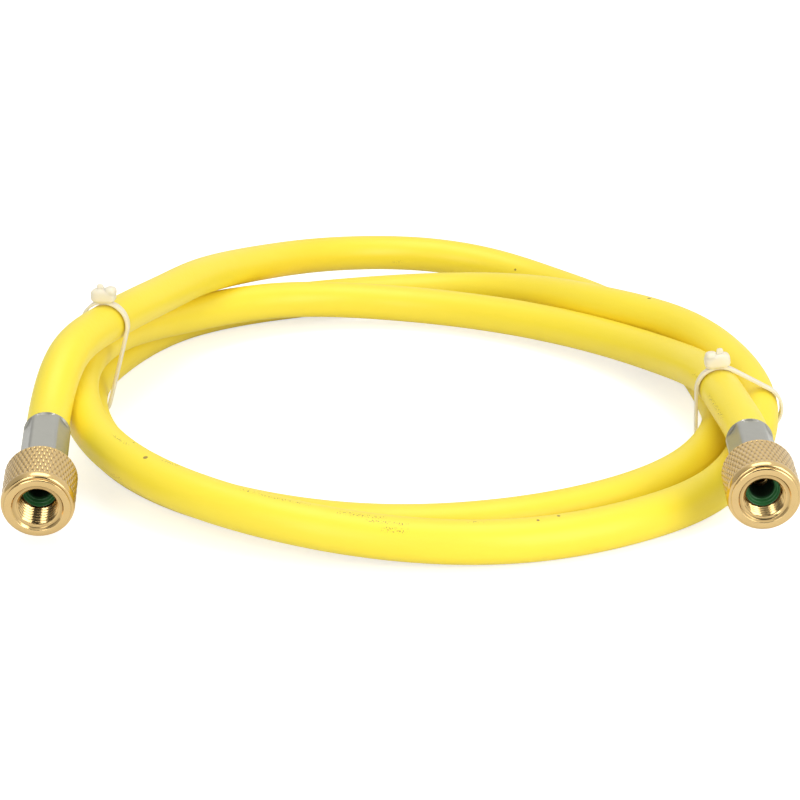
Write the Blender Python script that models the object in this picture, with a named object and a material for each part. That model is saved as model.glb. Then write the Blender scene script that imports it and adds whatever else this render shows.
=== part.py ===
"""Coiled yellow charging hose with two swivel-nut fittings and two cable ties.

Metres, +Z up, standing on z = 0. The front of the coil, where both nuts point, is towards -Y.
"""
import bpy
import bmesh
import numpy as np
from math import cos, pi, radians, sin
from mathutils import Vector

MM = 0.001

# Hose
HOSE_D = 11.8
HOSE_STEP = 17.0
HOSE_END_GAP = 0.3

# End fittings: positions of the ferrules' rear faces, yaw and downward pitch of their axes, and how far each
# nut stands in front of its ferrule
LEFT_REAR = (-99.8, -72.9, 20.0)
LEFT_YAW = 3.8
LEFT_PITCH = 9.0
LEFT_NUT_GAP = 3.5
RIGHT_REAR = (92.2, -79.9, 20.5)
RIGHT_YAW = -1.4
RIGHT_PITCH = 3.0
RIGHT_NUT_GAP = 0.6

# Ferrule
FERRULE_D = 12.8
FERRULE_LENGTH = 19.0
PAD_ACROSS = 11.6
PAD_COUNT = 6

# Nut for a 7/16-20 thread
NUT_D = 19.4
NUT_LENGTH = 16.6
THREAD_CORE_D = 10.4
THREAD_LENGTH = 8.8
COUNTERSINK_D = 12.9
FACE_D = 16.1
REAR_HOLE_D = 8.1

# Stem and gasket
STEM_D = 7.5
STEM_BORE_D = 4.8
CUP_D = 9.74
CUP_BORE_D = 9.24
GASKET_D = 9.0
GASKET_HOLE_D = 5.6
GASKET_DEPTH = 3.0
GASKET_GAP = 0.2
CUP_LENGTH = 3.7
CUP_BEHIND_LIP = 0.3
NECK_LENGTH = 8.2
BARB_START = 0.6

# Cable ties
STRAP_WIDTH = 2.4
STRAP_THICK = 0.9
LEFT_TIE_TURN = -10.0
LEFT_TIE_ALONG = -29.3
RIGHT_TIE_TURN = 0.0
RIGHT_TIE_ALONG = -40.4
HEAD_SIZE = (7.2, 4.6, 4.3)
LOBE_SIZE = (2.8, 4.0, 2.2)
TAIL_SIZE = (2.0, 1.1, 3.2)

# Hand-chosen centreline points of the hose, from the left ferrule to the right one
ROUTE = [
    (-99.8, -72.9, 20), (-97.9, -40.4, 30.3), (-91, -15.9, 31), (-83.8, 4.1, 29.7),
    (-76.3, 24.6, 27.8), (-68.8, 44.6, 25.9), (-59.8, 64.9, 22.7), (-48.3, 84.8, 18.9),
    (-33.3, 102.6, 15.5), (-13.8, 114.1, 13), (8.2, 117.4, 11.1), (30.2, 112.3, 8.7),
    (49.2, 99.1, 6.4), (64.2, 80.6, 6.1), (80.2, 46.1, 6.1), (89.9, 11.1, 6.2),
    (92, -12.4, 6.5), (90.6, -37.9, 7.8), (81.9, -58.9, 6.6), (58.2, -84.9, 6.1),
    (26.2, -100.9, 6.1), (-9.8, -104.9, 6.1), (-43.8, -94.4, 6.1), (-72.3, -71.9, 6.1),
    (-90, -41.7, 6.5), (-96.7, -12.4, 7.6), (-91.3, 27.6, 6.3), (-73.3, 60.6, 6.1),
    (-43.8, 79.6, 6.1), (-16.8, 88.3, 6.1), (8.2, 90.6, 6.9), (30.2, 81.9, 9.8),
    (47.5, 65.6, 13.5), (62.4, 47.8, 16.3), (81.2, 25.6, 18.1), (95.6, -7, 18.3),
    (100.3, -41.4, 14), (88.2, -73.9, 7.1), (63.7, -99.4, 6.2), (32.2, -113.9, 6.2),
    (-3.3, -117.4, 8), (-38.3, -109.4, 11), (-68.8, -89.9, 13.5), (-89.8, -58.9, 16),
    (-96.9, -22.4, 19.5), (-90.1, 12.6, 18.6), (-72.6, 45.1, 13.4), (-43.3, 67.9, 10.8),
    (-7.3, 74.1, 8), (28.2, 61.9, 8), (59.2, 37.2, 9.6), (79.1, 5.2, 13.5),
    (88.4, -31.4, 19.5), (90.7, -58.4, 21), (92.2, -79.9, 20.5),
]


def clear():
    """Start from an empty scene."""
    for ob in list(bpy.data.objects):
        bpy.data.objects.remove(ob, do_unlink=True)


def material(name, colour, metallic, roughness):
    """One Principled material per node."""
    mat = bpy.data.materials.new(name)
    mat.use_nodes = True
    bsdf = mat.node_tree.nodes["Principled BSDF"]
    bsdf.inputs["Base Color"].default_value = (*colour, 1.0)
    bsdf.inputs["Metallic"].default_value = metallic
    bsdf.inputs["Roughness"].default_value = roughness
    mat.diffuse_color = (*colour, 1.0)
    return mat


def axis_of(yaw, pitch):
    """Unit vector of a fitting: towards -Y, turned by yaw and dipping by pitch."""
    y, p = radians(yaw), radians(pitch)
    return np.array([sin(y) * cos(p), -cos(y) * cos(p), -sin(p)])


def smooth_curve(points, start_dir, end_dir):
    """Twice-smooth cubic through the points, with given unit directions at both ends.

    Between knots i and i+1, a distance h apart, the curve is the cubic with the knots' positions and
    slopes m. The slopes solve m[i-1]/h[i-1] + 2 m[i] (1/h[i-1] + 1/h[i]) + m[i+1]/h[i] = chords.
    """
    p = np.array(points, float)
    h = np.linalg.norm(np.diff(p, axis=0), axis=1)
    n = len(p)
    a = np.zeros((n, n))
    b = np.zeros((n, 3))
    a[0, 0] = 1.0
    a[-1, -1] = 1.0
    b[0] = start_dir
    b[-1] = end_dir
    for i in range(1, n - 1):
        a[i, i - 1] = 1.0 / h[i - 1]
        a[i, i] = 2.0 / h[i - 1] + 2.0 / h[i]
        a[i, i + 1] = 1.0 / h[i]
        b[i] = 3.0 * (p[i] - p[i - 1]) / h[i - 1] ** 2 + 3.0 * (p[i + 1] - p[i]) / h[i] ** 2
    m = np.linalg.solve(a, b)
    out = []
    for i in range(n - 1):
        t = np.linspace(0.0, 1.0, 60, endpoint=False)[:, None]
        out.append((2 * t**3 - 3 * t**2 + 1) * p[i] + (t**3 - 2 * t**2 + t) * h[i] * m[i]
                   + (3 * t**2 - 2 * t**3) * p[i + 1] + (t**3 - t**2) * h[i] * m[i + 1])
    out.append(p[-1:])
    return np.vstack(out)


def even_points(curve, step):
    """Points about one step apart along the curve, moved out by half the chord's sag."""
    run = np.r_[0.0, np.cumsum(np.linalg.norm(np.diff(curve, axis=0), axis=1))]
    count = int(round(run[-1] / step)) + 1
    s = np.linspace(0.0, run[-1], count)
    pts = np.stack([np.interp(s, run, curve[:, k]) for k in range(3)], axis=1)
    gap = s[1] - s[0]
    bend = np.zeros_like(pts)
    bend[1:-1] = (pts[:-2] - 2 * pts[1:-1] + pts[2:]) / gap**2
    return pts - bend * gap**2 / 16.0


def make_hose(name, pts, mat):
    """Bare tube with filled ends on a poly spline."""
    cu = bpy.data.curves.new(name, "CURVE")
    cu.dimensions = "3D"
    cu.bevel_depth = HOSE_D / 2 * MM
    cu.bevel_resolution = 4
    cu.use_fill_caps = True
    sp = cu.splines.new("POLY")
    sp.points.add(len(pts) - 1)
    for k, q in enumerate(pts):
        sp.points[k].co = (q[0] * MM, q[1] * MM, q[2] * MM, 1.0)
    ob = bpy.data.objects.new(name, cu)
    bpy.context.scene.collection.objects.link(ob)
    cu.materials.append(mat)
    return ob


def mesh_object(name, verts, faces, mat, origin, smooth=True):
    """Mesh in millimetres in the shared frame, with its origin at the given point, faces outward."""
    org = Vector([float(c) for c in origin]) * MM
    me = bpy.data.meshes.new(name)
    me.from_pydata([tuple(Vector([float(c) for c in v]) * MM - org) for v in verts], [], faces)
    bm = bmesh.new()
    bm.from_mesh(me)
    bmesh.ops.recalc_face_normals(bm, faces=bm.faces)
    if bm.calc_volume(signed=True) < 0:
        bmesh.ops.reverse_faces(bm, faces=bm.faces)
    bm.to_mesh(me)
    bm.free()
    me.polygons.foreach_set("use_smooth", [smooth] * len(me.polygons))
    if smooth:
        me.set_sharp_from_angle(angle=radians(32))
    ob = bpy.data.objects.new(name, me)
    ob.location = org
    bpy.context.scene.collection.objects.link(ob)
    me.materials.append(mat)
    return ob


def ring_solid(name, rear, axis, profile, segments, mat, origin_at, radius=None):
    """Closed profile of (distance along the axis, radius) turned about the axis.

    radius(dist, r, angle), where given, changes the radius around the turn.
    """
    rear = np.array(rear, float)
    side = np.cross(axis, [0.0, 0.0, 1.0])
    side /= np.linalg.norm(side)
    up = np.cross(side, axis)
    verts = []
    for s, r in profile:
        for k in range(segments):
            ang = 2 * pi * k / segments
            rr = radius(s, r, ang) if radius else r
            verts.append(rear + axis * s + rr * (cos(ang) * side + sin(ang) * up))
    n = len(profile)
    faces = []
    for i in range(n):
        for k in range(segments):
            i2 = (i + 1) % n
            k2 = (k + 1) % segments
            faces.append((i * segments + k, i * segments + k2, i2 * segments + k2, i2 * segments + k))
    return mesh_object(name, verts, faces, mat, rear + axis * origin_at)


def pad_radius(s, r, ang):
    """Six flat crimp pads, one of them on top: r = min(r, apothem / cos(angle from the pad's middle))."""
    if s < 0.7 or s > FERRULE_LENGTH - 0.7 or r < 5.0:
        return r
    step = 2 * pi / PAD_COUNT
    off = ang % step - step / 2
    return min(r, PAD_ACROSS / 2 / cos(off))


def make_fitting(side, rear, yaw, pitch, nut_gap):
    """Ferrule, stem, gasket and nut of one end."""
    ax = axis_of(yaw, pitch)
    steel = material("ferrule_%s_steel" % side, (0.50, 0.50, 0.46), 1.0, 0.42)
    brass = material("stem_%s_brass" % side, (0.72, 0.52, 0.22), 1.0, 0.30)
    nut_brass = material("nut_%s_brass" % side, (0.78, 0.60, 0.30), 1.0, 0.28)
    green = material("gasket_%s_rubber" % side, (0.03, 0.20, 0.07), 0.0, 0.5)
    r = FERRULE_D / 2
    ring_solid("ferrule_" + side, rear, ax, [
        (0.0, 3.45), (0.0, r - 0.5), (0.15, r - 0.2), (0.4, r), (0.6, r), (1.2, r), (FERRULE_LENGTH - 1.2, r),
        (FERRULE_LENGTH - 0.6, r), (FERRULE_LENGTH - 0.2, r - 0.2), (FERRULE_LENGTH, r - 0.6),
        (FERRULE_LENGTH, 3.45),
    ], 72, steel, FERRULE_LENGTH / 2, pad_radius)
    sr = STEM_D / 2
    cup_back = FERRULE_LENGTH + NECK_LENGTH
    cup_lip = cup_back + CUP_LENGTH
    gf = cup_lip + CUP_BEHIND_LIP
    gb = gf - GASKET_DEPTH
    cup_floor = gb - GASKET_GAP
    ring_solid("stem_" + side, rear, ax, [
        (BARB_START, STEM_BORE_D / 2), (BARB_START, 3.1), (FERRULE_LENGTH + 0.3, 3.1), (FERRULE_LENGTH + 0.3, sr),
        (cup_back, sr), (cup_back, CUP_D / 2 - 0.2), (cup_back + 0.2, CUP_D / 2), (cup_lip, CUP_D / 2),
        (cup_lip, CUP_BORE_D / 2), (cup_floor, CUP_BORE_D / 2), (cup_floor, STEM_BORE_D / 2),
    ], 48, brass, FERRULE_LENGTH + 5.0)
    gr, gh = GASKET_D / 2, GASKET_HOLE_D / 2
    ring_solid("gasket_" + side, rear, ax, [
        (gb, gh), (gb, gr), (gf - 0.2, gr), (gf, gr - 0.2), (gf, gr - 0.45), (gb + 0.5, gh),
    ], 48, green, gf - 0.8)
    n0 = FERRULE_LENGTH + nut_gap
    nr = NUT_D / 2
    nl = NUT_LENGTH
    bore = THREAD_CORE_D / 2
    prof = [
        (0.0, REAR_HOLE_D / 2), (0.0, nr - 1.1), (0.25, nr - 0.5), (0.8, nr - 0.1), (1.2, nr),
        (nl - 2.6, nr), (nl - 2.1, nr - 0.04), (nl - 1.75, nr - 0.2), (nl - 1.5, nr - 0.5), (nl - 1.4, nr - 0.9),
        (nl - 1.25, nr - 1.15), (nl - 1.0, nr - 1.16), (nl - 0.8, nr - 1.08), (nl - 0.4, nr - 1.12),
        (nl - 0.12, nr - 1.35), (nl, FACE_D / 2), (nl, COUNTERSINK_D / 2), (nl - 1.25, bore),
        (nl - THREAD_LENGTH, bore), (nl - THREAD_LENGTH - 0.4, bore + 0.55), (3.5, bore + 0.55),
        (3.2, bore + 0.3), (3.2, REAR_HOLE_D / 2),
    ]
    ring_solid("nut_" + side, rear, ax, [(n0 + t, q) for t, q in prof], 72, nut_brass, n0 + NUT_LENGTH / 2)


def crossing(curve, y, low, high):
    """Point and unit direction where the curve crosses the plane at y, between two fractions of it."""
    a, b = int(low * len(curve)), int(high * len(curve))
    for i in range(a, b - 1):
        if (curve[i, 1] - y) * (curve[i + 1, 1] - y) <= 0 and curve[i, 1] != curve[i + 1, 1]:
            f = (y - curve[i, 1]) / (curve[i + 1, 1] - curve[i, 1])
            d = curve[i + 1] - curve[i]
            return curve[i] + f * d, d / np.linalg.norm(d)
    raise ValueError("no crossing")


def hull_loop(circles, extra):
    """Points of the tight loop round circles (x, z, r): for each angle the circle that reaches furthest."""
    loop = []
    for k in range(96):
        ang = 2 * pi * k / 96
        n = np.array([cos(ang), sin(ang)])
        best = max(circles, key=lambda c: c[0] * n[0] + c[1] * n[1] + c[2])
        loop.append(np.array(best[:2]) + (best[2] + extra) * n)
    return loop


def box(bm, centre, tangent, out, size):
    """Box in the tie's plane: size along the tangent, along Y and outward."""
    t3 = np.array([tangent[0], 0.0, tangent[1]])
    o3 = np.array([out[0], 0.0, out[1]])
    y3 = np.array([0.0, 1.0, 0.0])
    vs = []
    for sx in (-0.5, 0.5):
        for sy in (-0.5, 0.5):
            for sz in (-0.5, 0.5):
                vs.append(bm.verts.new(tuple(centre + t3 * sx * size[0] + y3 * sy * size[1]
                                             + o3 * sz * size[2])))
    for f in ((0, 1, 3, 2), (4, 6, 7, 5), (0, 4, 5, 1), (2, 3, 7, 6), (0, 2, 6, 4), (1, 5, 7, 3)):
        bm.faces.new([vs[k] for k in f])


def temp_object(name, bm):
    """Closed helper mesh, millimetres."""
    bmesh.ops.recalc_face_normals(bm, faces=bm.faces)
    if bm.calc_volume(signed=True) < 0:
        bmesh.ops.reverse_faces(bm, faces=bm.faces)
    me = bpy.data.meshes.new(name)
    bm.to_mesh(me)
    bm.free()
    ob = bpy.data.objects.new(name, me)
    bpy.context.scene.collection.objects.link(ob)
    return ob


def turned_about_z(points, angle):
    """Points turned about the Z axis by an angle in degrees."""
    c, q = cos(radians(angle)), sin(radians(angle))
    return np.array(points, float) @ np.array([[c, q, 0.0], [-q, c, 0.0], [0.0, 0.0, 1.0]])


def make_tie(name, turn, along, circles, head_angle, tail_at, lobe_at, mat):
    """Strap loop, head with its raised lobe and cut tail as one moulded piece.

    It is drawn in the plane y = along and then turned about the Z axis. tail_at and lobe_at are distances
    along the strap from the middle of the head.
    """
    inner = hull_loop(circles, 0.0)
    outer = hull_loop(circles, STRAP_THICK)
    bm = bmesh.new()
    rings = []
    for a, b in zip(inner, outer):
        rings.append([bm.verts.new((p[0], along + dy, p[1])) for p, dy in (
            (a, -STRAP_WIDTH / 2), (b, -STRAP_WIDTH / 2), (b, STRAP_WIDTH / 2), (a, STRAP_WIDTH / 2))])
    for k, ring in enumerate(rings):
        nxt = rings[(k + 1) % len(rings)]
        for j in range(4):
            bm.faces.new((ring[j], ring[(j + 1) % 4], nxt[(j + 1) % 4], nxt[j]))
    strap = temp_object(name, bm)
    ang = radians(head_angle)
    n = np.array([cos(ang), sin(ang)])
    best = max(circles, key=lambda c: c[0] * n[0] + c[1] * n[1] + c[2])
    foot = np.array(best[:2]) + best[2] * n
    tan = np.array([-n[1], n[0]])
    top = 0.35 + HEAD_SIZE[2]
    blocks = []
    for label, size, up, at, round_off in (("head", HEAD_SIZE, 0.35 + HEAD_SIZE[2] / 2, 0.0, 1.0),
                                           ("lobe", LOBE_SIZE, top - 0.3, lobe_at, 0.5),
                                           ("tail", TAIL_SIZE, top - 0.2, tail_at, 0.3)):
        bm = bmesh.new()
        place = foot + n * up + tan * at
        box(bm, np.array([place[0], along, place[1]]), tan, n, size)
        bmesh.ops.bevel(bm, geom=list(bm.edges), offset=round_off, segments=2, affect="EDGES", profile=0.5)
        blocks.append(temp_object(name + "_" + label, bm))
    for other in blocks:
        mod = strap.modifiers.new("join", "BOOLEAN")
        mod.operation = "UNION"
        mod.solver = "EXACT"
        mod.object = other
    deps = bpy.context.evaluated_depsgraph_get()
    me = bpy.data.meshes.new_from_object(strap.evaluated_get(deps))
    verts = turned_about_z([tuple(v.co) for v in me.vertices], turn)
    faces = [tuple(p.vertices) for p in me.polygons]
    for ob in [strap] + blocks:
        bpy.data.objects.remove(ob, do_unlink=True)
    middle = turned_about_z([(foot[0], along, foot[1])], turn)[0]
    return mesh_object(name, [tuple(v) for v in verts], faces, mat, tuple(middle))


def circle_at(curve, y, low, high):
    """Circle in the plane at y that clears the hose, which may cross the plane at a slant."""
    p, d = crossing(curve, y, low, high)
    slant = (d[0] ** 2 + d[2] ** 2) ** 0.5 / abs(d[1])
    return (p[0], p[2], HOSE_D / 2 * (1 + slant**2) ** 0.5 + STRAP_WIDTH / 2 * slant + 0.25)


clear()
start = -axis_of(LEFT_YAW, LEFT_PITCH)
finish = axis_of(RIGHT_YAW, RIGHT_PITCH)
curve = smooth_curve(ROUTE, start, finish)
pts = even_points(curve, HOSE_STEP)
first = pts[0] + start * HOSE_END_GAP
last = pts[-1] - finish * HOSE_END_GAP
pts = np.vstack([first, first + start * 4.0, pts[1:-1], last - finish * 4.0, last])
make_hose("hose", pts, material("hose_rubber", (0.93, 0.70, 0.06), 0.0, 0.45))
make_fitting("left", LEFT_REAR, LEFT_YAW, LEFT_PITCH, LEFT_NUT_GAP)
make_fitting("right", RIGHT_REAR, RIGHT_YAW, RIGHT_PITCH, RIGHT_NUT_GAP)
left_curve = turned_about_z(curve, -LEFT_TIE_TURN)
left_stack = [circle_at(left_curve, LEFT_TIE_ALONG, low, high)
              for low, high in ((0.02, 0.1), (0.43, 0.5), (0.79, 0.84))]
right_curve = turned_about_z(curve, -RIGHT_TIE_TURN)
right_stack = [circle_at(right_curve, RIGHT_TIE_ALONG, low, high)
               for low, high in ((0.3, 0.37), (0.63, 0.68), (0.93, 0.99))]
make_tie("tie_left", LEFT_TIE_TURN, LEFT_TIE_ALONG, left_stack, 91.0, 0.8, -2.2,
         material("tie_left_nylon", (0.80, 0.74, 0.58), 0.0, 0.35))
make_tie("tie_right", RIGHT_TIE_TURN, RIGHT_TIE_ALONG, right_stack, 98.0, -1.0, 1.6,
         material("tie_right_nylon", (0.80, 0.74, 0.58), 0.0, 0.35))
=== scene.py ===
"""Visual model of the coiled yellow charging hose: hose, crimped ferrules, knurled nuts and cable ties.

Lengths are worked out in millimetres in the row frame and put into the meshes in metres.
"""
import math

import bpy
import numpy as np
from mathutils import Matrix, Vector


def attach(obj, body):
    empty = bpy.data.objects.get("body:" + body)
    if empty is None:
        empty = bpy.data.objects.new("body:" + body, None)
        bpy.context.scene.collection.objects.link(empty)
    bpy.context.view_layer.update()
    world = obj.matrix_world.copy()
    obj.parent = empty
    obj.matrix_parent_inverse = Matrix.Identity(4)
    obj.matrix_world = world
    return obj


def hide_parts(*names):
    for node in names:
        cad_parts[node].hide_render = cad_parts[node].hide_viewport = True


MM = 0.001
PI = math.pi

# Hose
HOSE_R = 5.9
HOSE_INSIDE = 0.15
HOSE_ROW = 2.0
HOSE_COLUMNS = 80

# Print on the hose: each run's start and end along it, and its degrees round it from underneath
PRINT_RUNS = [(1206.0, 1227.0, 182), (1187.0, 1198.0, 190), (1180.0, 1190.0, 205), (1181.0, 1186.0, 225),
              (1160.5, 1164.5, 182), (1267.0, 1274.5, 186), (1246.0, 1252.0, 170), (1263.0, 1266.5, 286),
              (1630.0, 1641.0, 110), (1653.0, 1670.0, 108), (1143.5, 1147.0, 142), (224.0, 228.0, 74)]
PRINT_HALF_WIDTH = 0.6
PRINT_STRENGTH = 0.9

# End fittings: rear point, yaw, downward pitch, distance from the ferrule's rear to the nut's face
FITTINGS = {
    "left": ((-99.8, -72.9, 20.0), 3.8, 9.0, 39.1),
    "right": ((92.2, -79.9, 20.5), -1.4, 3.0, 36.2),
}
TURNED_COLUMNS = 96

# Ferrule
FERRULE_R = 6.4
FERRULE_BORE_R = 3.5
FERRULE_LENGTH = 19.0
FERRULE_COLUMNS = 180
PAD_APOTHEM = 5.8
PAD_ANGLE = PI / 3
PAD_BULGE = 0.08

# Stem and gasket, at distances from the ferrule's rear
BARB_START = 3.8
BARB_R = 3.2
STEM_BORE_R = 2.4
NECK_START = FERRULE_LENGTH + 0.45
NECK_R = 3.75
CUP_BACK = 27.2
CUP_R = 4.87
CUP_BORE_R = 4.62
CUP_BEHIND_LIP = 0.3
SLEEVE_BORE_R = 3.12
GASKET_FRONT = 31.2
GASKET_DEPTH = 3.0
GASKET_GAP = 0.2
GASKET_R = 4.5
SLEEVE_LENGTH = 7.2

# The gasket's funnel with its two fine steps: depth behind the front, radius
FUNNEL = [(0.05, 4.28), (0.4, 4.16), (0.95, 3.98), (1.02, 3.82), (1.3, 3.76), (1.9, 3.52),
          (1.97, 3.38), (2.2, 3.32), (2.75, 3.1), (3.3, 2.92), (4.2, 2.78), (6.9, 2.3)]
# Painted shade inside the funnel starts this deep and darkens fully over this run.
FUNNEL_DARK_FROM = 1.7
FUNNEL_DARK_RUN = 1.1

# Nut; the thread, the band's end, the shoulder and the groove are measured back from its face
NUT_LENGTH = 16.6
NUT_R = 9.7
REAR_HOLE_R = 4.05
REAR_WALL = 3.2
THREAD_LENGTH = 8.8
THREAD_START = 0.9
PITCH = 25.4 / 20
THREAD_MAJOR_R = 5.56
THREAD_MINOR_R = 4.98
RELIEF_R = 5.75
MOUTH_R = 6.9
BAND_START = 1.2
BAND_END = 2.65
BAND_ROW = 0.177
SHOULDER_START = 2.62
SHOULDER_LENGTH = 1.8
SHOULDER_DROP = 1.0
GROOVE_MIDDLE = 0.66
KNURL_COUNT = 45
KNURL_PERIOD = 3.54
KNURL_DEPTH = 0.32
KNURL_HALF_GROOVE = 0.30
NUT_COLUMNS = KNURL_COUNT * 8
PLAIN, KNURLED, THREADED = 0, 1, 2

# Cable ties: turn of the loop's plane about Z, its place along the turned Y, the head's angle in that
# plane, the tail's and the lobe's places along the strap, and the parts of the hose's line where each
# strand is crossed
STRAP_WIDTH = 2.4
STRAP_THICK = 0.9
STRAP_EDGE = 0.22
STRAP_CLEARANCE = 0.25
TIES = {
    "left": (-10.0, -29.3, 91.0, 0.8, -2.2, ((0.02, 0.1), (0.43, 0.5), (0.79, 0.84))),
    "right": (0.0, -40.4, 98.0, -1.0, 1.6, ((0.3, 0.37), (0.63, 0.68), (0.93, 0.99))),
}
HEAD_HALF = (3.7, 2.3, 2.15)
LOBE_HALF = (1.8, 2.1, 1.5)
TAIL_HALF = (1.0, 0.7, 1.6)
HEAD_UP = 0.35

# Lamps: name, place, size, power, target
LAMPS = [
    ("top_lamp", (0.0, 0.1, 1.0), (0.75, 0.75), 3.9, (0, 0, 0)),
    ("right_box", (0.62, -0.76, 0.38), (0.50, 0.72), 4.3, (0, -0.03, 0.02)),
    ("left_box", (-0.35, -0.93, 0.38), (0.28, 0.72), 2.4, (0, -0.03, 0.02)),
]

# Camera: focal length in pixels of a photo 800 pixels wide, downward tilt, distance and aim
FOCAL_PX = 2326.34
PHOTO_WIDTH_PX = 800
SENSOR_WIDTH = 36.0
CAMERA_TILT = 21.0
CAMERA_DISTANCE = 0.718015
CAMERA_AIM = (-0.0028, 0.0036, 0.0)

# Floor and surroundings
FLOOR_HALF = 40.0
FLOOR_GLOW = 0.25
FLOOR_SEEN_GLOW = 0.38
ROOM_LEVEL = 0.52
FRONT_LEVEL = 0.03
LEFT_LEVEL = 0.55

# Centreline points of the hose, from the left ferrule to the right one
ROUTE = [
    (-99.8, -72.9, 20), (-97.9, -40.4, 30.3), (-91, -15.9, 31), (-83.8, 4.1, 29.7),
    (-76.3, 24.6, 27.8), (-68.8, 44.6, 25.9), (-59.8, 64.9, 22.7), (-48.3, 84.8, 18.9),
    (-33.3, 102.6, 15.5), (-13.8, 114.1, 13), (8.2, 117.4, 11.1), (30.2, 112.3, 8.7),
    (49.2, 99.1, 6.4), (64.2, 80.6, 6.1), (80.2, 46.1, 6.1), (89.9, 11.1, 6.2),
    (92, -12.4, 6.5), (90.6, -37.9, 7.8), (81.9, -58.9, 6.6), (58.2, -84.9, 6.1),
    (26.2, -100.9, 6.1), (-9.8, -104.9, 6.1), (-43.8, -94.4, 6.1), (-72.3, -71.9, 6.1),
    (-90, -41.7, 6.5), (-96.7, -12.4, 7.6), (-91.3, 27.6, 6.3), (-73.3, 60.6, 6.1),
    (-43.8, 79.6, 6.1), (-16.8, 88.3, 6.1), (8.2, 90.6, 6.9), (30.2, 81.9, 9.8),
    (47.5, 65.6, 13.5), (62.4, 47.8, 16.3), (81.2, 25.6, 18.1), (95.6, -7, 18.3),
    (100.3, -41.4, 14), (88.2, -73.9, 7.1), (63.7, -99.4, 6.2), (32.2, -113.9, 6.2),
    (-3.3, -117.4, 8), (-38.3, -109.4, 11), (-68.8, -89.9, 13.5), (-89.8, -58.9, 16),
    (-96.9, -22.4, 19.5), (-90.1, 12.6, 18.6), (-72.6, 45.1, 13.4), (-43.3, 67.9, 10.8),
    (-7.3, 74.1, 8), (28.2, 61.9, 8), (59.2, 37.2, 9.6), (79.1, 5.2, 13.5),
    (88.4, -31.4, 19.5), (90.7, -58.4, 21), (92.2, -79.9, 20.5),
]

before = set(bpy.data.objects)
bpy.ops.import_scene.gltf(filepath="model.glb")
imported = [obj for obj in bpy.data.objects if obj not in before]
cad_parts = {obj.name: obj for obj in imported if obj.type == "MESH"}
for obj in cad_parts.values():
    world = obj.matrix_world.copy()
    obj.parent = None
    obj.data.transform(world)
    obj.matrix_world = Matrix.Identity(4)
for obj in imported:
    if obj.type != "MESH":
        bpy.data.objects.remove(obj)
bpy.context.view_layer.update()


# Shapes

def axis_of(yaw, pitch):
    """Unit vector of a fitting: towards -Y, turned by yaw and dipping by pitch, in degrees."""
    y, p = math.radians(yaw), math.radians(pitch)
    return np.array([math.sin(y) * math.cos(p), -math.cos(y) * math.cos(p), -math.sin(p)])


def smooth_curve(points, start_dir, end_dir):
    """Cubic with continuous curvature through the points; its end slopes are the given unit directions."""
    p = np.array(points, float)
    h = np.linalg.norm(np.diff(p, axis=0), axis=1)
    n = len(p)
    a = np.zeros((n, n))
    b = np.zeros((n, 3))
    a[0, 0] = a[-1, -1] = 1.0
    b[0], b[-1] = start_dir, end_dir
    for i in range(1, n - 1):
        a[i, i - 1:i + 2] = 1 / h[i - 1], 2 / h[i - 1] + 2 / h[i], 1 / h[i]
        b[i] = 3 * (p[i] - p[i - 1]) / h[i - 1] ** 2 + 3 * (p[i + 1] - p[i]) / h[i] ** 2
    m = np.linalg.solve(a, b)
    t = np.linspace(0, 1, 60, endpoint=False)[None, :, None]
    hh = h[:, None, None]
    out = ((2 * t**3 - 3 * t**2 + 1) * p[:-1, None] + (t**3 - 2 * t**2 + t) * hh * m[:-1, None]
           + (3 * t**2 - 2 * t**3) * p[1:, None] + (t**3 - t**2) * hh * m[1:, None])
    return np.vstack([out.reshape(-1, 3), p[-1:]])


def evenly(line, step):
    """Points one step apart along a line, and their distances along it."""
    run = np.r_[0, np.cumsum(np.linalg.norm(np.diff(line, axis=0), axis=1))]
    s = np.linspace(0, run[-1], int(round(run[-1] / step)) + 1)
    return np.stack([np.interp(s, run, line[:, k]) for k in range(3)], axis=1), s


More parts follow.
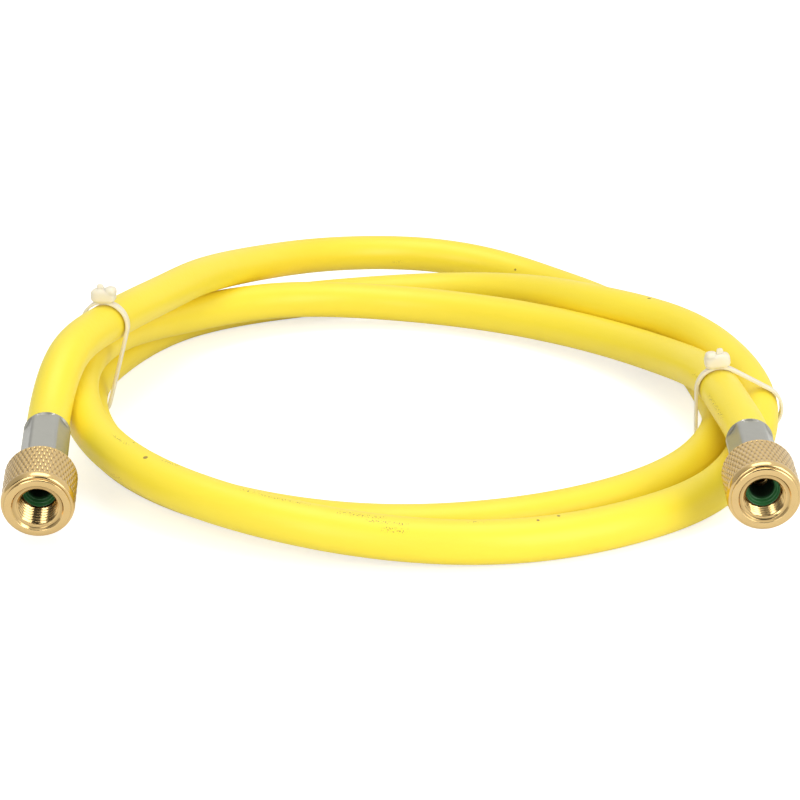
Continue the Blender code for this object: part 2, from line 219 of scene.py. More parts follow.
def surface(name, grid, mat, close_rows=False, caps=False, uv=None, marks=None):
    """Mesh of a grid of points (rows, columns, 3) in millimetres.

    The columns join end to end, and the rows do where close_rows is set. uv is the pair of coordinates per
    row and per column. marks maps an attribute's name to a value per point. caps closes the first and last
    row with a fan round its mean point.
    """
    n, m = grid.shape[:2]
    verts = grid.reshape(-1, 3)
    i = np.arange(n if close_rows else n - 1)[:, None]
    k = np.arange(m)[None, :]
    i2, k2 = (i + 1) % n, (k + 1) % m
    quads = np.stack([i * m + k, i * m + k2, i2 * m + k2, i2 * m + k], axis=-1).reshape(-1, 4)
    loops = [quads.reshape(-1)]
    sizes = [np.full(len(quads), 4)]
    corner_uv = None
    if uv is not None:
        du = np.stack([i + 0 * k, i + 0 * k, i + 1 + 0 * k, i + 1 + 0 * k], axis=-1).reshape(-1)
        dv = np.stack([k + 0 * i, k + 1 + 0 * i, k + 1 + 0 * i, k + 0 * i], axis=-1).reshape(-1)
        corner_uv = np.stack([uv[0][du], uv[1][dv]], axis=1)
    if caps:
        mid = np.stack([grid[0].mean(axis=0), grid[-1].mean(axis=0)])
        verts = np.vstack([verts, mid])
        c = np.arange(m)
        c2 = (c + 1) % m
        first = np.stack([np.full(m, n * m), c2, c], axis=1)
        last = np.stack([np.full(m, n * m + 1), (n - 1) * m + c, (n - 1) * m + c2], axis=1)
        loops += [first.reshape(-1), last.reshape(-1)]
        sizes += [np.full(2 * m, 3)]
        if corner_uv is not None:
            corner_uv = np.vstack([corner_uv, np.zeros((6 * m, 2))])
    loops = np.concatenate(loops).astype(np.int32)
    sizes = np.concatenate(sizes).astype(np.int32)
    me = bpy.data.meshes.new(name)
    me.vertices.add(len(verts))
    me.vertices.foreach_set("co", (verts * MM).astype(np.float32).reshape(-1))
    me.loops.add(len(loops))
    me.loops.foreach_set("vertex_index", loops)
    me.polygons.add(len(sizes))
    me.polygons.foreach_set("loop_start", np.r_[0, np.cumsum(sizes)[:-1]].astype(np.int32))
    me.polygons.foreach_set("loop_total", sizes)
    me.update(calc_edges=True)
    if corner_uv is not None:
        layer = me.uv_layers.new(name="UVMap")
        layer.data.foreach_set("uv", corner_uv.astype(np.float32).reshape(-1))
    for label, values in (marks or {}).items():
        at = me.attributes.new(label, "FLOAT", "POINT")
        per_point = np.r_[values.reshape(-1), np.zeros(len(verts) - n * m)]
        at.data.foreach_set("value", per_point.astype(np.float32))
    me.validate()
    face_out(me)
    me.polygons.foreach_set("use_smooth", [True] * len(me.polygons))
    me.set_sharp_from_angle(angle=math.radians(38))
    ob = bpy.data.objects.new(name, me)
    bpy.context.scene.collection.objects.link(ob)
    me.materials.append(mat)
    return ob


def face_out(me):
    """Turn the faces round where the mesh's signed volume is negative."""
    me.calc_loop_triangles()
    tri = np.zeros(len(me.loop_triangles) * 3, np.int32)
    me.loop_triangles.foreach_get("vertices", tri)
    co = np.zeros(len(me.vertices) * 3)
    me.vertices.foreach_get("co", co)
    a, b, c = co.reshape(-1, 3)[tri.reshape(-1, 3)].transpose(1, 0, 2)
    if np.einsum("ij,ij->i", a, np.cross(b, c)).sum() < 0:
        me.flip_normals()


def stand_for(ob, cad_node, body="hose_body"):
    """The piece joins a body, and the CAD node it stands for is hidden."""
    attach(ob, body)
    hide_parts(cad_node)
    return ob


def join(name, parts):
    """One object from several, keeping the first one's material slots."""
    for ob in bpy.context.selected_objects:
        ob.select_set(False)
    for ob in parts:
        ob.select_set(True)
    bpy.context.view_layer.objects.active = parts[0]
    bpy.ops.object.join()
    parts[0].name = name
    parts[0].data.name = name
    return parts[0]


def turned(rear, axis, along, radius, columns):
    """Grid of a turned piece: point = rear + along * axis + radius * (cos(angle) side + sin(angle) up).

    along is an array per row, and radius per row, or per row and column.
    """
    side = np.cross(axis, [0, 0, 1.0])
    side /= np.linalg.norm(side)
    up = np.cross(side, axis)
    ang = np.linspace(0, 2 * PI, columns, endpoint=False)
    along = along[:, None] + 0 * ang
    radius = radius[:, None] + 0 * ang if radius.ndim == 1 else radius
    return (np.array(rear) + along[..., None] * axis
            + radius[..., None] * (np.cos(ang)[:, None] * side + np.sin(ang)[:, None] * up))


def refine(profile, step):
    """Profile points (along, radius) with extra ones so that none are further apart than step."""
    p = np.array(profile, float)
    rows = []
    for a, b in zip(p, np.roll(p, -1, axis=0)):
        count = max(1, int(math.ceil(np.linalg.norm(b - a) / step)))
        rows.append(a + (b - a) * np.arange(count)[:, None] / count)
    return np.vstack(rows)


# Materials

def new_material(name, colour, metallic, roughness):
    """Principled material, its node tree and its shader."""
    mat = bpy.data.materials.new(name)
    mat.use_nodes = True
    nt = mat.node_tree
    bsdf = nt.nodes["Principled BSDF"]
    bsdf.inputs["Base Color"].default_value = (*colour, 1)
    bsdf.inputs["Metallic"].default_value = metallic
    bsdf.inputs["Roughness"].default_value = roughness
    mat.diffuse_color = (*colour, 1)
    return mat, nt, bsdf


def node(nt, kind, **settings):
    """Add a node and set its properties, or its inputs where the key is an input's name."""
    nd = nt.nodes.new(kind)
    for key, value in settings.items():
        if key in nd.inputs.keys():
            nd.inputs[key].default_value = value
        else:
            setattr(nd, key, value)
    return nd


def maths(nt, operation, *values):
    """Output of a Math node; each value is a number or another node's output."""
    nd = node(nt, "ShaderNodeMath", operation=operation)
    for socket, value in zip(nd.inputs, values):
        if isinstance(value, float):
            socket.default_value = value
        else:
            nt.links.new(value, socket)
    return nd.outputs[0]


def ranged(nt, value, low, high, out_low=0.0, out_high=1.0, smooth=False):
    """Output of a Map Range node that takes low..high to out_low..out_high, evenly or smoothly."""
    nd = node(nt, "ShaderNodeMapRange", interpolation_type="SMOOTHSTEP" if smooth else "LINEAR")
    nd.inputs["From Min"].default_value = low
    nd.inputs["From Max"].default_value = high
    nd.inputs["To Min"].default_value = out_low
    nd.inputs["To Max"].default_value = out_high
    nt.links.new(value, nd.inputs["Value"])
    return nd.outputs["Result"]


def blend(nt, factor, first, second):
    """Colour output that goes from the first output's colour to the second, a plain colour, by a factor."""
    nd = node(nt, "ShaderNodeMix", data_type="RGBA")
    nd.inputs["B"].default_value = (*second, 1)
    nt.links.new(factor, nd.inputs["Factor"])
    nt.links.new(first, nd.inputs["A"])
    return nd.outputs["Result"]


def fine_group():
    """Group: soft mottling of a colour, and a fine height, both from Object coordinates."""
    g = bpy.data.node_groups.new("surface_variation", "ShaderNodeTree")
    for label, kind, default in (
            ("Color", "NodeSocketColor", (1, 1, 1, 1)), ("Stain", "NodeSocketColor", (0, 0, 0, 1)),
            ("Amount", "NodeSocketFloat", 0.2), ("Scale", "NodeSocketFloat", 60.0),
            ("Roughness", "NodeSocketFloat", 0.4), ("Spread", "NodeSocketFloat", 0.1),
            ("Grain Scale", "NodeSocketFloat", 900.0)):
        s = g.interface.new_socket(label, in_out="INPUT", socket_type=kind)
        s.default_value = default
    for label, kind in (("Color", "NodeSocketColor"), ("Roughness", "NodeSocketFloat"),
                        ("Height", "NodeSocketFloat")):
        g.interface.new_socket(label, in_out="OUTPUT", socket_type=kind)
    gi = g.nodes.new("NodeGroupInput")
    go = g.nodes.new("NodeGroupOutput")
    co = g.nodes.new("ShaderNodeTexCoord")
    big = node(g, "ShaderNodeTexNoise", Detail=4.0, Roughness=0.6)
    g.links.new(co.outputs["Object"], big.inputs["Vector"])
    g.links.new(gi.outputs["Scale"], big.inputs["Scale"])
    patches = ranged(g, big.outputs["Fac"], 0.42, 0.75)
    amount = maths(g, "MULTIPLY", patches, gi.outputs["Amount"])
    mix = node(g, "ShaderNodeMix", data_type="RGBA")
    g.links.new(amount, mix.inputs["Factor"])
    g.links.new(gi.outputs["Color"], mix.inputs["A"])
    g.links.new(gi.outputs["Stain"], mix.inputs["B"])
    g.links.new(mix.outputs["Result"], go.inputs["Color"])
    rough = maths(g, "MULTIPLY_ADD", patches, gi.outputs["Spread"], gi.outputs["Roughness"])
    g.links.new(rough, go.inputs["Roughness"])
    grain = node(g, "ShaderNodeTexNoise", Detail=3.0, Roughness=0.55)
    g.links.new(co.outputs["Object"], grain.inputs["Vector"])
    g.links.new(gi.outputs["Grain Scale"], grain.inputs["Scale"])
    g.links.new(grain.outputs["Fac"], go.inputs["Height"])
    return g


VARIATION = fine_group()


def vary(nt, bsdf, colour, stain, amount, scale, roughness, spread, grain, depth):
    """Mottled colour output; the variation group also drives the shader's roughness and fine bump."""
    v = nt.nodes.new("ShaderNodeGroup")
    v.node_tree = VARIATION
    v.inputs["Color"].default_value = (*colour, 1)
    v.inputs["Stain"].default_value = (*stain, 1)
    for label, value in (("Amount", amount), ("Scale", scale), ("Roughness", roughness),
                         ("Spread", spread), ("Grain Scale", grain)):
        v.inputs[label].default_value = value
    nt.links.new(v.outputs["Roughness"], bsdf.inputs["Roughness"])
    bump = nt.nodes.new("ShaderNodeBump")
    bump.inputs["Distance"].default_value = depth
    bump.inputs["Strength"].default_value = 1.0
    nt.links.new(v.outputs["Height"], bump.inputs["Height"])
    nt.links.new(bump.outputs["Normal"], bsdf.inputs["Normal"])
    return v.outputs["Color"]


def hose_material():
    """Satin yellow rubber with faint scuffs, short runs of brownish print specks and a few single dots."""
    mat, nt, bsdf = new_material("hose_rubber", (0.95, 0.77, 0.050), 0.0, 0.42)
    yellow = vary(nt, bsdf, (0.96, 0.775, 0.045), (0.92, 0.70, 0.036), 0.30, 26.0, 0.40, 0.10, 700.0,
                  0.00005)
    uv = node(nt, "ShaderNodeUVMap", uv_map="UVMap")
    runs = node(nt, "ShaderNodeAttribute", attribute_name="print")
    specks = node(nt, "ShaderNodeTexNoise", Scale=2600.0, Detail=0.0)
    nt.links.new(uv.outputs["UV"], specks.inputs["Vector"])
    speck_on = maths(nt, "GREATER_THAN", specks.outputs["Fac"], 0.635)
    print_on = maths(nt, "MULTIPLY", runs.outputs["Fac"], speck_on)
    co = nt.nodes.new("ShaderNodeTexCoord")
    cells = node(nt, "ShaderNodeTexVoronoi", Scale=70.0)
    nt.links.new(co.outputs["Object"], cells.inputs["Vector"])
    dot_on = maths(nt, "LESS_THAN", cells.outputs["Distance"], 0.045)
    marked = maths(nt, "MAXIMUM", print_on, dot_on)
    factor = maths(nt, "MULTIPLY", marked, PRINT_STRENGTH)
    nt.links.new(blend(nt, factor, yellow, (0.28, 0.17, 0.03)), bsdf.inputs["Base Color"])
    return mat


def colour_to(nt, bsdf, colour, painted_shade_colour):
    """Take a colour into the shader; where a painted shade colour is given, the mark 'pit' says how much of
    that painted shade shows.
    """
    if painted_shade_colour is not None:
        at = node(nt, "ShaderNodeAttribute", attribute_name="pit")
        colour = blend(nt, at.outputs["Fac"], colour, painted_shade_colour)
    nt.links.new(colour, bsdf.inputs["Base Color"])


def metal_material(name, colour, stain, amount, roughness, grain, depth, painted_shade_colour=None, metallic=1.0):
    """Metal with mottling and fine grain, and painted shade by the mark 'pit' where a shade colour is given.
    """
    mat, nt, bsdf = new_material(name, colour, metallic, roughness)
    mottled = vary(nt, bsdf, colour, stain, amount, 180.0, roughness, 0.08, grain, depth)
    colour_to(nt, bsdf, mottled, painted_shade_colour)
    return mat


def soft_material(name, colour, stain, roughness, grain, depth, glow=0.0, painted_shade_colour=None):
    """Rubber or nylon with slight mottling and painted shade by the mark 'pit' where a shade colour is given;
    glow is the weight of light carried inside it.
    """
    mat, nt, bsdf = new_material(name, colour, 0.0, roughness)
    mottled = vary(nt, bsdf, colour, stain, 0.4, 120.0, roughness, 0.1, grain, depth)
    colour_to(nt, bsdf, mottled, painted_shade_colour)
    bsdf.inputs["Subsurface Weight"].default_value = glow
    bsdf.inputs["Subsurface Radius"].default_value = (1.0, 0.8, 0.5)
    bsdf.inputs["Subsurface Scale"].default_value = 0.001
    return mat


RUBBER = hose_material()
STEEL = metal_material("ferrule_steel", (0.40, 0.395, 0.35), (0.33, 0.32, 0.28), 0.35, 0.30, 1500.0,
                       0.00001, metallic=0.9)
BRASS = metal_material("stem_brass", (0.62, 0.41, 0.155), (0.50, 0.31, 0.10), 0.4, 0.22, 1500.0, 0.000005)
# The nut's dark second colour is painted shade for its recesses.
NUT_BRASS = metal_material("nut_brass", (0.72, 0.51, 0.225), (0.64, 0.44, 0.175), 0.4, 0.16, 1800.0,
                           0.000004, painted_shade_colour=(0.16, 0.085, 0.02))
# The gasket's dark second colour is painted shade down its funnel.
GREEN = soft_material("gasket_rubber", (0.038, 0.180, 0.052), (0.02, 0.12, 0.035), 0.30, 900.0, 0.00001,
                      painted_shade_colour=(0.010, 0.018, 0.010))
NYLON = soft_material("tie_nylon", (0.86, 0.79, 0.61), (0.83, 0.75, 0.56), 0.32, 400.0, 0.000004, glow=0.25)


# Hose

def hose():
    """Round tube: ring of radius HOSE_R round each centre, in the plane across the line.

    The ring's angle starts underneath, so the seam is out of sight.
    """
    left_axis, right_axis = (axis_of(*FITTINGS[side_name][1:3]) for side_name in ("left", "right"))
    line = smooth_curve(ROUTE, -left_axis, right_axis)
    line = np.vstack([line[0] + left_axis * HOSE_INSIDE, line, line[-1] + right_axis * HOSE_INSIDE])
    centres, s = evenly(line, HOSE_ROW)
    tan = np.gradient(centres, axis=0)
    tan /= np.linalg.norm(tan, axis=1)[:, None]
    side = np.cross(tan, [0, 0, 1.0])
    side /= np.linalg.norm(side, axis=1)[:, None]
    up = np.cross(side, tan)
    ang = np.linspace(0, 2 * PI, HOSE_COLUMNS, endpoint=False)
    ring = -np.cos(ang)[None, :, None] * up[:, None] + np.sin(ang)[None, :, None] * side[:, None]
    grid = centres[:, None] + HOSE_R * ring
    uv = (s * MM, np.linspace(0, 2 * PI * HOSE_R * MM, HOSE_COLUMNS + 1))
    runs = np.array(PRINT_RUNS)
    along = (s[:, None] > runs[:, 0]) & (s[:, None] < runs[:, 1])
    across = np.abs(ang[:, None] - np.radians(runs[:, 2])) * HOSE_R < PRINT_HALF_WIDTH
    printed = (along.astype(float) @ across.T.astype(float)).clip(0, 1)
    ob = surface("hose_tube", grid, RUBBER, caps=True, uv=uv, marks={"print": printed})
    return ob, line, centres


# Fittings

def ferrule(side_name):
    """Turned sleeve with six flat crimp pads: radius = min(radius, apothem / cos(angle from pad's middle)).

    The pads fade in near each end, one of them is on top, and the metal bulges a little between them.
    """
    rear, yaw, pitch, _ = FITTINGS[side_name]
    r = FERRULE_R
    end = FERRULE_LENGTH
    prof = refine([
        (0.25, 5.93), (0.1, 5.95), (0.0, 6.02), (0.0, r - 0.22), (0.08, r - 0.08), (0.2, r), (0.75, r),
        (end - 0.5, r), (end - 0.15, r - 0.15), (end, r - 0.5), (end, FERRULE_BORE_R),
        (0.25, FERRULE_BORE_R)], 0.14)
    ang = np.linspace(0, 2 * PI, FERRULE_COLUMNS, endpoint=False)
    off = ang % PAD_ANGLE - PAD_ANGLE / 2
    flat = PAD_APOTHEM / np.cos(off)
    s, rad = prof[:, 0][:, None], prof[:, 1][:, None]
    fade = np.clip(np.minimum((s - 0.22) / 0.4, (end - 0.6 - s) / 0.9), 0, 1)
    fade = fade * fade * (3 - 2 * fade)
    outer = rad > r - 0.02
    bulge = PAD_BULGE * np.exp(-((np.abs(off) - PAD_ANGLE / 2) / 0.06) ** 2)
    pressed = np.minimum(rad + bulge, flat)
    radius = np.where(outer, rad + (pressed - rad) * fade, rad)
    grid = turned(rear, axis_of(yaw, pitch), prof[:, 0], radius, FERRULE_COLUMNS)
    ob = surface("ferrule_%s_sleeve" % side_name, grid, STEEL, close_rows=True)
    return stand_for(ob, "ferrule_" + side_name)


def stem(side_name):
    """Turned brass tail: barb end in the ferrule, plain neck through the nut, cup for the gasket."""
    rear, yaw, pitch, _ = FITTINGS[side_name]
    lip = GASKET_FRONT - CUP_BEHIND_LIP
    floor = GASKET_FRONT - GASKET_DEPTH - GASKET_GAP
    prof = refine([
        (BARB_START, STEM_BORE_R), (BARB_START, BARB_R), (NECK_START - 0.25, BARB_R),
        (NECK_START - 0.15, NECK_R - 0.1), (NECK_START, NECK_R), (CUP_BACK, NECK_R),
        (CUP_BACK, CUP_R - 0.2), (CUP_BACK + 0.2, CUP_R), (lip - 0.15, CUP_R), (lip, CUP_R - 0.07),
        (lip, CUP_BORE_R + 0.04), (lip - 0.1, CUP_BORE_R), (floor, CUP_BORE_R), (floor, SLEEVE_BORE_R),
        (floor - 6.0, SLEEVE_BORE_R - 0.02), (floor - 6.2, STEM_BORE_R)], 0.6)
    grid = turned(rear, axis_of(yaw, pitch), prof[:, 0], prof[:, 1], TURNED_COLUMNS)
    ob = surface("stem_%s_tail" % side_name, grid, BRASS, close_rows=True)
    return stand_for(ob, "stem_" + side_name)


def gasket(side_name):
    """Moulded cone seat: a lip at the front, the funnel, and a sleeve down into the stem's bore.

    The mark 'pit' paints shade on the inside below FUNNEL_DARK_FROM.
    """
    rear, yaw, pitch, _ = FITTINGS[side_name]
    front = GASKET_FRONT
    back = front - GASKET_DEPTH
    sleeve_end = front - SLEEVE_LENGTH
    outside = [(sleeve_end, 2.2), (sleeve_end, 3.0), (back, 3.05), (back, GASKET_R),
               (front - 0.15, GASKET_R), (front - 0.04, GASKET_R - 0.03), (front, GASKET_R - 0.12)]
    prof = refine(outside + [(front - depth, radius) for depth, radius in FUNNEL], 0.2)
    grid = turned(rear, axis_of(yaw, pitch), prof[:, 0], prof[:, 1], TURNED_COLUMNS)
    # Painted shade: the funnel's inside gets darker with depth.
    dark = np.clip((front - FUNNEL_DARK_FROM - prof[:, 0]) / FUNNEL_DARK_RUN, 0, 1)
    inside = np.where(prof[:, 1] < 4.0, dark, 0)
    ob = surface("gasket_%s_ring" % side_name, grid, GREEN, close_rows=True,
                 marks={"pit": np.repeat(inside[:, None], TURNED_COLUMNS, axis=1)})
    return stand_for(ob, "gasket_" + side_name)


def knurl(t, ang):
    """Depth of the diamond knurl, 0 on the lands, a half in a groove and 1 where two grooves cross.

    With a = KNURL_COUNT angle / 2 pi and b = t / KNURL_PERIOD the grooves run where a + b and a - b are
    whole numbers, and each falls off straight to its edge.
    """
    def groove(q):
        """Depth of one set of grooves, 1 on a groove's middle."""
        return np.clip(1.0 - np.abs(q - np.round(q)) / KNURL_HALF_GROOVE, 0, 1)

    a = KNURL_COUNT * ang / (2 * PI)
    b = t / KNURL_PERIOD
    return 0.5 * (groove(a + b) + groove(a - b))


def nut_profile():
    """Rows (along, radius) of the nut from its rear face, and whether each is plain, knurled or threaded.

    The front shoulder follows an ellipse over 80 degrees, (start + length sin(u), radius - drop (1 - cos(u))),
    and the groove, the thin lip and the face come after it.
    """
    r, end = NUT_R, NUT_LENGTH
    rear_edge = np.array([(REAR_WALL, REAR_HOLE_R), (0.15, REAR_HOLE_R), (0.0, 4.2), (0.0, r - 1.2),
                          (0.12, r - 0.8), (0.4, r - 0.4), (0.9, r - 0.12)])
    band = np.arange(BAND_START, end - BAND_END, BAND_ROW)
    band = np.stack([band, np.full(len(band), r)], axis=1)
    u = np.linspace(0.0, math.radians(80.0), 18)
    shoulder = np.stack([end - SHOULDER_START + SHOULDER_LENGTH * np.sin(u),
                         r - SHOULDER_DROP * (1 - np.cos(u))], axis=1)
    front = np.array([
        (end - 0.8, r - 1.0), (end - 0.76, r - 1.25), (end - GROOVE_MIDDLE, r - 1.32), (end - 0.52, r - 1.3),
        (end - 0.45, r - 1.15), (end - 0.32, r - 1.08), (end - 0.16, r - 1.13), (end - 0.05, r - 1.3),
        (end, r - 1.55), (end, MOUTH_R), (end - 0.06, MOUTH_R - 0.1)])
    ledge = np.array([(end - 0.7, MOUTH_R - 0.4), (end - 0.78, MOUTH_R - 0.55),
                      (end - THREAD_START, THREAD_MAJOR_R)])
    thread = np.arange(end - THREAD_START - 0.08, end - THREAD_LENGTH, -PITCH / 16)
    thread = np.stack([thread, np.full(len(thread), THREAD_MINOR_R)], axis=1)
    relief = np.array([(end - THREAD_LENGTH - 0.1, THREAD_MAJOR_R), (end - THREAD_LENGTH - 0.3, RELIEF_R),
                       (REAR_WALL + 0.3, RELIEF_R), (REAR_WALL + 0.05, RELIEF_R - 0.15)])
    parts = [(rear_edge, PLAIN), (band, KNURLED), (shoulder, PLAIN), (front, PLAIN), (ledge, PLAIN),
             (thread, THREADED), (relief, PLAIN)]
    kind = np.concatenate([np.full(len(rows), label) for rows, label in parts])
    return np.vstack([rows for rows, _ in parts]), kind


def nut(side_name):
    """Turned nut: knurled band, rounded shoulder, groove and lip, shallow ledge, thread, relief, rear wall.

    Thread: radius = minor + (major - minor) tri(along / pitch - angle / 2 pi), where tri is a trapezoid
    wave. The mark 'pit' is painted shade, high in the knurl's crossings, the thread's roots, the groove and
    the ledge.
    """
    rear, yaw, pitch, face = FITTINGS[side_name]
    prof, kind = nut_profile()
    knurled = (kind == KNURLED)[:, None]
    threaded = (kind == THREADED)[:, None]
    ang = np.linspace(0, 2 * PI, NUT_COLUMNS, endpoint=False)[None, :]
    t = prof[:, 0][:, None]
    rad = prof[:, 1][:, None] + 0 * ang
    from_face = NUT_LENGTH - t
    fade = np.clip(np.minimum((t - 1.0) / 0.5, (from_face - 2.75) / 0.3), 0, 1)
    pit = np.where(knurled, knurl(t, ang) * fade, 0.0)
    wave = (t / PITCH - ang / (2 * PI)) % 1.0
    tri = np.clip(1.25 - 2.9 * np.abs(wave - 0.5), 0, 1)
    lead = np.clip((from_face - THREAD_START) / 0.5, 0, 1)
    cut = THREAD_MINOR_R + (THREAD_MAJOR_R - THREAD_MINOR_R) * np.maximum(tri, 1 - lead)
    rad = np.where(threaded, cut, rad - KNURL_DEPTH * pit)
    in_groove = np.where(rad > NUT_R - 1.5, np.exp(-((from_face - GROOVE_MIDDLE) / 0.13) ** 2), 0.0)
    on_ledge = np.where(rad < MOUTH_R - 0.2, np.exp(-((from_face - 0.74) / 0.06) ** 2), 0.0)
    # Painted shade: darker in the knurl's crossings, the thread's roots, the groove and the ledge.
    painted_shade = (0.22 * np.clip(2.4 * pit, 0, 1) + 0.62 * np.clip(2.4 * pit - 1.2, 0, 1)
            + np.where(threaded, 0.3 * tri, 0.0) + 0.6 * in_groove + 0.5 * on_ledge)
    grid = turned(rear, axis_of(yaw, pitch), face - NUT_LENGTH + prof[:, 0], rad, NUT_COLUMNS)
    ob = surface("nut_%s_body" % side_name, grid, NUT_BRASS, close_rows=True, marks={"pit": painted_shade})
    return stand_for(ob, "nut_" + side_name, side_name + "_nut")


# Cable ties

def crossing(line, y, low, high):
    """Point and unit direction where the line crosses the plane at y, between two fractions of it."""
    a, b = int(low * len(line)), int(high * len(line))
    part = line[a:b]
    k = np.nonzero((part[:-1, 1] - y) * (part[1:, 1] - y) <= 0)[0][0]
    f = (y - part[k, 1]) / (part[k + 1, 1] - part[k, 1])
    d = part[k + 1] - part[k]
    return part[k] + f * d, d / np.linalg.norm(d)


def circle_at(line, y, low, high):
    """Circle (x, z, r) in the plane at y that clears the hose, which may cross the plane at a slant."""
    p, d = crossing(line, y, low, high)
    slant = math.hypot(d[0], d[2]) / abs(d[1])
    return p[0], p[2], HOSE_R * math.sqrt(1 + slant**2) + STRAP_WIDTH / 2 * slant + STRAP_CLEARANCE


def turned_about_z(points, angle):
    """Points turned about the Z axis by an angle in degrees."""
    c, q = math.cos(math.radians(angle)), math.sin(math.radians(angle))
    return points @ np.array([[c, q, 0.0], [-q, c, 0.0], [0.0, 0.0, 1.0]])


def strap_section():
    """Points (outward, along Y) of the strap's section, a flat bar with bevelled edges."""
    w, th, e = STRAP_WIDTH / 2, STRAP_THICK, STRAP_EDGE
    return np.array([
        (0, -w + e), (0, w - e), (e * 0.3, w - e * 0.3), (e, w), (th - e, w), (th - e * 0.3, w - e * 0.3),
        (th, w - e), (th, -w + e), (th - e * 0.3, -w + e * 0.3), (th - e, -w), (e, -w),
        (e * 0.3, -w + e * 0.3)])


def tie(side_name, line):
    """Strap loop round the strands, with head, raised lobe and cut tail.

    It is worked out in the plane y = along and then turned about Z. For each angle the loop touches the
    circle that reaches furthest that way: point = centre + r normal.
    """
    turn, along, head_angle, tail_at, lobe_at, parts = TIES[side_name]
    own = turned_about_z(line, -turn)
    c = np.array([circle_at(own, along, low, high) for low, high in parts])
    ang = np.linspace(0, 2 * PI, 240, endpoint=False)
    n = np.stack([np.cos(ang), np.sin(ang)], axis=1)
    best = np.argmax(n @ c[:, :2].T + c[:, 2], axis=1)
    base = c[best, :2] + c[best, 2][:, None] * n
    prof = strap_section()
    pos = base[:, None] + prof[None, :, 0, None] * n[:, None]
    grid = np.stack([pos[..., 0], along + prof[None, :, 1] + 0 * pos[..., 0], pos[..., 1]], axis=-1)
    strap = surface("tie_%s" % side_name, turned_about_z(grid, turn), NYLON, close_rows=True)
    a = math.radians(head_angle)
    out = np.array([math.cos(a), math.sin(a)])
    tan = np.array([-out[1], out[0]])
    k = int(np.argmax(c[:, :2] @ out + c[:, 2]))
    foot = c[k, :2] + c[k, 2] * out
    top = HEAD_UP + 2 * HEAD_HALF[2]
    pieces = [strap]
    for label, half, up, at, power in (("head", HEAD_HALF, HEAD_UP + HEAD_HALF[2], 0.0, 0.58),
                                       ("lobe", LOBE_HALF, top - 0.85, lobe_at, 0.8),
                                       ("tail", TAIL_HALF, top - 0.2, tail_at, 0.6)):
        box = rounded_box(foot + up * out + at * tan, along, tan, out, half, power)
        pieces.append(surface(label, turned_about_z(box, turn), NYLON, caps=True))
    ob = join("tie_%s_loop" % side_name, pieces)
    return stand_for(ob, "tie_" + side_name)


def rounded_box(centre, along, tan, out, half, power):
    """Grid of a rounded box: (a cos^p(u) cos^p(v), b cos^p(u) sin^p(v), c sin^p(u)), signs kept."""
    def raised(q):
        """Signed power."""
        return np.sign(q) * np.abs(q) ** power

    u = np.linspace(-PI / 2, PI / 2, 35)[1:-1, None]
    v = np.linspace(0, 2 * PI, 64, endpoint=False)[None, :]
    x = half[0] * raised(np.cos(u)) * raised(np.cos(v))
    y = half[1] * raised(np.cos(u)) * raised(np.sin(v))
    z = half[2] * raised(np.sin(u)) + 0 * v
    return np.stack([centre[0] + x * tan[0] + z * out[0], along + y,
                     centre[1] + x * tan[1] + z * out[1]], axis=-1)


# Build

tube, line, centres = hose()
stand_for(tube, "hose")
for fitting_side in FITTINGS:
    [make(fitting_side) for make in (ferrule, stem, gasket, nut)]
for tie_side in TIES:
    tie(tie_side, line)


# Studio

def white_where_seen(nt):
    """Factor that is 1 on camera, glossy and transmission rays."""
    rays = nt.nodes.new("ShaderNodeLightPath").outputs
    seen = maths(nt, "MAXIMUM", rays["Is Camera Ray"], rays["Is Glossy Ray"])
    return maths(nt, "MAXIMUM", seen, rays["Is Transmission Ray"])


def front_dark(nt):
    """Level of the surroundings in reflections: 1, low towards -Y and softer to the left."""
    co = nt.nodes.new("ShaderNodeTexCoord")
    sep = nt.nodes.new("ShaderNodeSeparateXYZ")
    nt.links.new(co.outputs["Generated"], sep.inputs[0])
    ahead = ranged(nt, sep.outputs["Y"], -0.35, -0.75, smooth=True)
    low = ranged(nt, sep.outputs["Z"], 0.85, 0.62, smooth=True)
    both = maths(nt, "MULTIPLY", ahead, low)
    level = ranged(nt, both, 0.0, 1.0, 1.0, FRONT_LEVEL)
    left = ranged(nt, sep.outputs["X"], -0.25, -0.75, 1.0, LEFT_LEVEL, smooth=True)
    return maths(nt, "MULTIPLY", level, left)


def paper_floor():
    """Pale paper that keeps the shadow; it glows a little so that it reads white where it is seen."""
    me = bpy.data.meshes.new("floor")
    q = FLOOR_HALF
    me.from_pydata([(-q, -q, 0), (q, -q, 0), (q, q, 0), (-q, q, 0)], [], [(0, 1, 2, 3)])
    ob = bpy.data.objects.new("floor", me)
    bpy.context.scene.collection.objects.link(ob)
    mat, nt, bsdf = new_material("floor_paper", (0.78, 0.78, 0.78), 0.0, 0.9)
    bsdf.inputs["Specular IOR Level"].default_value = 0.0
    rays = nt.nodes.new("ShaderNodeLightPath").outputs
    seen = maths(nt, "MULTIPLY", rays["Is Camera Ray"], FLOOR_SEEN_GLOW)
    glow = maths(nt, "MULTIPLY_ADD", white_where_seen(nt), FLOOR_GLOW, seen)
    bsdf.inputs["Emission Color"].default_value = (1, 1, 1, 1)
    nt.links.new(glow, bsdf.inputs["Emission Strength"])
    me.materials.append(mat)


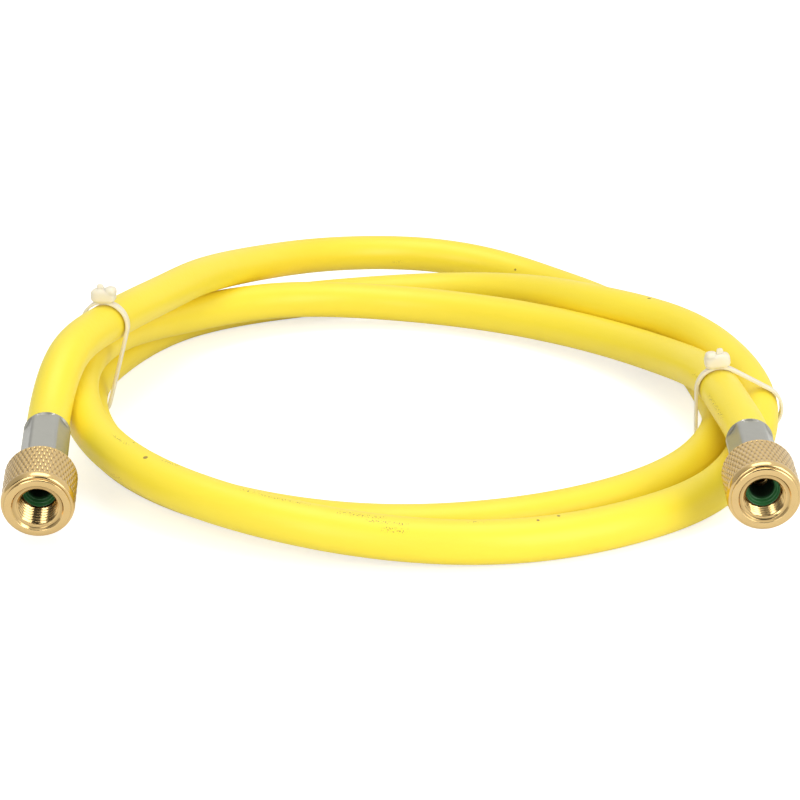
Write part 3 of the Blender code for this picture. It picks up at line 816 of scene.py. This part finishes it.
def surroundings():
    """White world, dimmer for diffuse light, with the dark front only in reflections."""
    world = bpy.data.worlds.new("studio_white")
    bpy.context.scene.world = world
    world.use_nodes = True
    nt = world.node_tree
    bg = nt.nodes["Background"]
    bg.inputs["Color"].default_value = (1, 1, 1, 1)
    level = ranged(nt, white_where_seen(nt), 0.0, 1.0, ROOM_LEVEL, 1.0)
    rays = nt.nodes.new("ShaderNodeLightPath").outputs
    shade = node(nt, "ShaderNodeMix", data_type="FLOAT")
    shade.inputs["A"].default_value = 1.0
    nt.links.new(rays["Is Glossy Ray"], shade.inputs["Factor"])
    nt.links.new(front_dark(nt), shade.inputs["B"])
    nt.links.new(maths(nt, "MULTIPLY", level, shade.outputs["Result"]), bg.inputs["Strength"])


def lamps():
    """Large soft lamps: one overhead and two boxes in front, which the nuts' bores mirror."""
    for name, place, size, power, target in LAMPS:
        lamp = bpy.data.lights.new(name, "AREA")
        lamp.shape = "RECTANGLE"
        lamp.size, lamp.size_y = size
        lamp.energy = power
        ob = bpy.data.objects.new(name, lamp)
        aim_at(ob, place, target)
        bpy.context.scene.collection.objects.link(ob)


def camera():
    """The photo's camera, in front of the coil and looking down by CAMERA_TILT."""
    cam = bpy.data.cameras.new("photo_camera")
    cam.sensor_width = SENSOR_WIDTH
    cam.lens = FOCAL_PX / PHOTO_WIDTH_PX * SENSOR_WIDTH
    ob = bpy.data.objects.new("photo_camera", cam)
    tilt = math.radians(CAMERA_TILT)
    x, y, z = CAMERA_AIM
    place = (x, y - CAMERA_DISTANCE * math.cos(tilt), z + CAMERA_DISTANCE * math.sin(tilt))
    aim_at(ob, place, CAMERA_AIM)
    bpy.context.scene.collection.objects.link(ob)
    bpy.context.scene.camera = ob


def aim_at(ob, place, target):
    """Put an object at a place with its -Z axis towards the target."""
    ob.location = place
    ob.rotation_euler = (Vector(target) - Vector(place)).to_track_quat("-Z", "Y").to_euler()


bpy.context.scene.view_settings.view_transform = "Standard"
paper_floor()
surroundings()
lamps()
camera()
